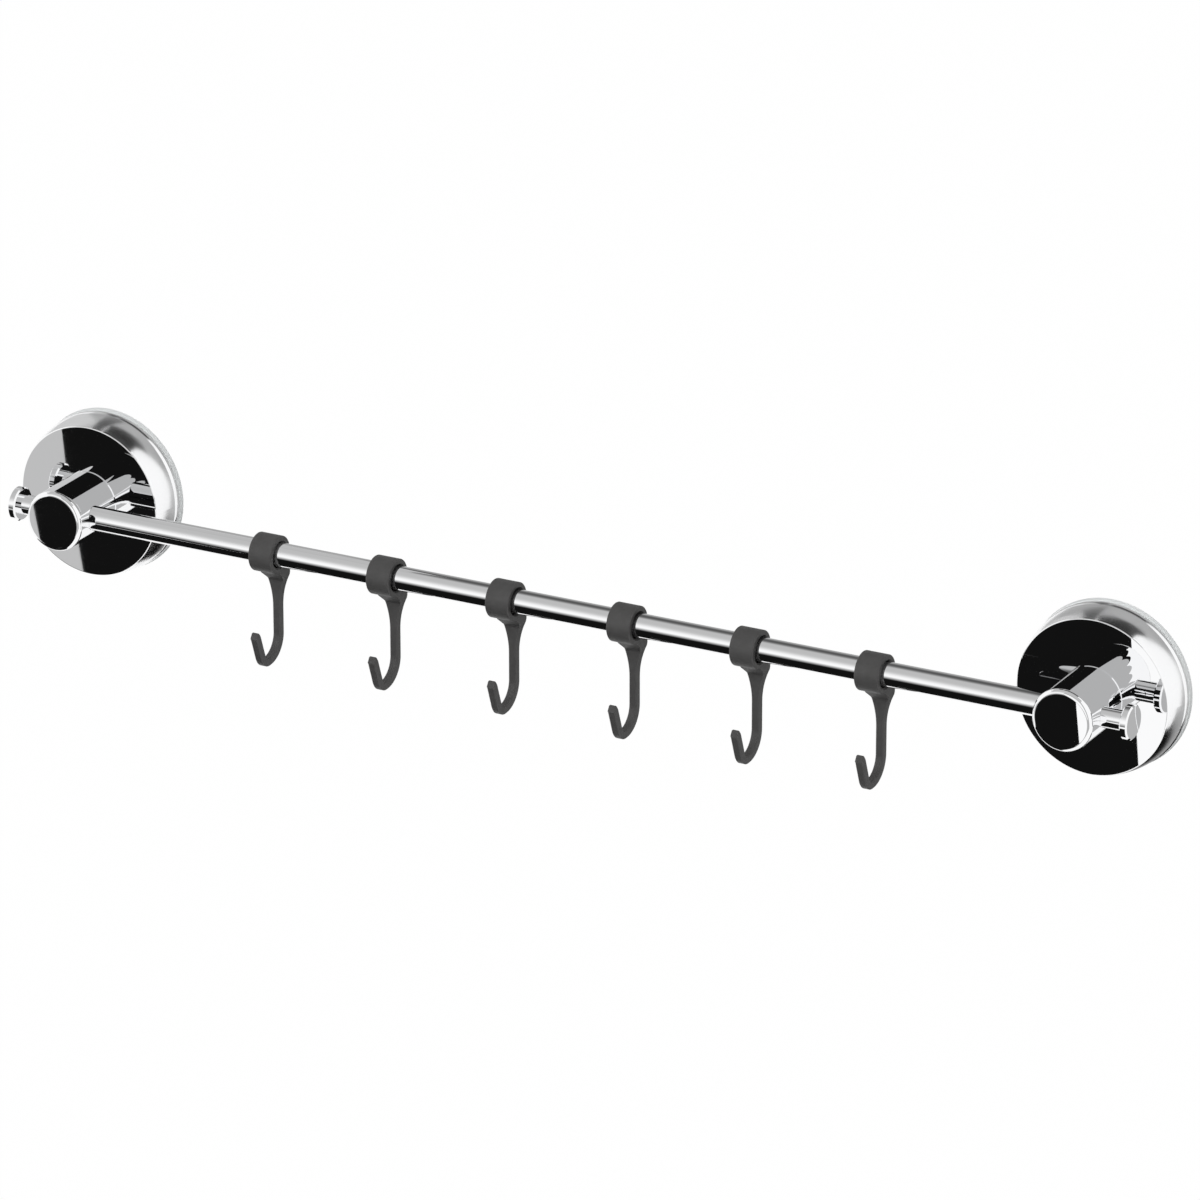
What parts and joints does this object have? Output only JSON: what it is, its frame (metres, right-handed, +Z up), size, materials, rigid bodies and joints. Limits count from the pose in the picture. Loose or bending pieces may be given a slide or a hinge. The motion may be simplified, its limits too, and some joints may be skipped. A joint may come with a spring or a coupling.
{
  "type": "suction cup towel bar",
  "caption": "Wall towel bar held by suction cups under turning covers, with J hooks that slide along the bar.",
  "frame": {"origin": "on the wall plane, midway between the two suction cups, at the height of the bar", "axes": "+X along the bar, -Y straight out from the wall, +Z up"},
  "size_m": [0.623, 0.0555, 0.0985],
  "materials": {
    "bar_chrome": "bright chrome plate on a steel tube",
    "post_chrome": "bright chrome plate on a die cast post",
    "cover_chrome": "bright chrome plate on moulded plastic",
    "knob_chrome": "bright chrome plate on turned brass",
    "soft_cup": "soft clear cup, slightly milky, smooth",
    "stem_plastic": "hard moulded plastic, natural white",
    "screw_steel": "zinc plated steel",
    "plug_brass": "plain turned brass",
    "hook_plastic": "matt moulded plastic, warm dark grey"
  },
  "bodies": {
    "rail": {"suction_cup_left": "soft_cup", "threaded_stem_left": "stem_plastic", "post_left": "post_chrome", "post_screw_left": "screw_steel", "post_washer_left": "screw_steel", "grub_screw_left": "screw_steel", "bar_plug_left": "plug_brass", "end_knob_left": "knob_chrome", "suction_cup_right": "soft_cup", "threaded_stem_right": "stem_plastic", "post_right": "post_chrome", "post_screw_right": "screw_steel", "post_washer_right": "screw_steel", "grub_screw_right": "screw_steel", "bar_plug_right": "plug_brass", "end_knob_right": "knob_chrome", "bar": "bar_chrome"},
    "left_cover": {"cover_left": "cover_chrome"},
    "right_cover": {"cover_right": "cover_chrome"},
    "hook_1": {"hook_1": "hook_plastic"},
    "hook_2": {"hook_2": "hook_plastic"},
    "hook_3": {"hook_3": "hook_plastic"},
    "hook_4": {"hook_4": "hook_plastic"},
    "hook_5": {"hook_5": "hook_plastic"},
    "hook_6": {"hook_6": "hook_plastic"}
  },
  "joints": [
    {"name": "left_cover_turn", "type": "hinge", "parent": "rail", "child": "left_cover", "pos_m": [-0.27, 0, 0], "axis": [0, -1, 0], "range_deg": [0, 270]},
    {"name": "right_cover_turn", "type": "hinge", "parent": "rail", "child": "right_cover", "pos_m": [0.27, 0, 0], "axis": [0, -1, 0], "range_deg": [0, 270]},
    {"name": "hook_1_slide", "type": "slide", "parent": "rail", "child": "hook_1", "axis": [1, 0, 0], "range_m": [-0.091, 0.026]},
    {"name": "hook_2_slide", "type": "slide", "parent": "rail", "child": "hook_2", "axis": [1, 0, 0], "range_m": [-0.026, 0.026]},
    {"name": "hook_3_slide", "type": "slide", "parent": "rail", "child": "hook_3", "axis": [1, 0, 0], "range_m": [-0.026, 0.026]},
    {"name": "hook_4_slide", "type": "slide", "parent": "rail", "child": "hook_4", "axis": [1, 0, 0], "range_m": [-0.026, 0.026]},
    {"name": "hook_5_slide", "type": "slide", "parent": "rail", "child": "hook_5", "axis": [1, 0, 0], "range_m": [-0.026, 0.026]},
    {"name": "hook_6_slide", "type": "slide", "parent": "rail", "child": "hook_6", "axis": [1, 0, 0], "range_m": [-0.026, 0.08]}
  ]
}
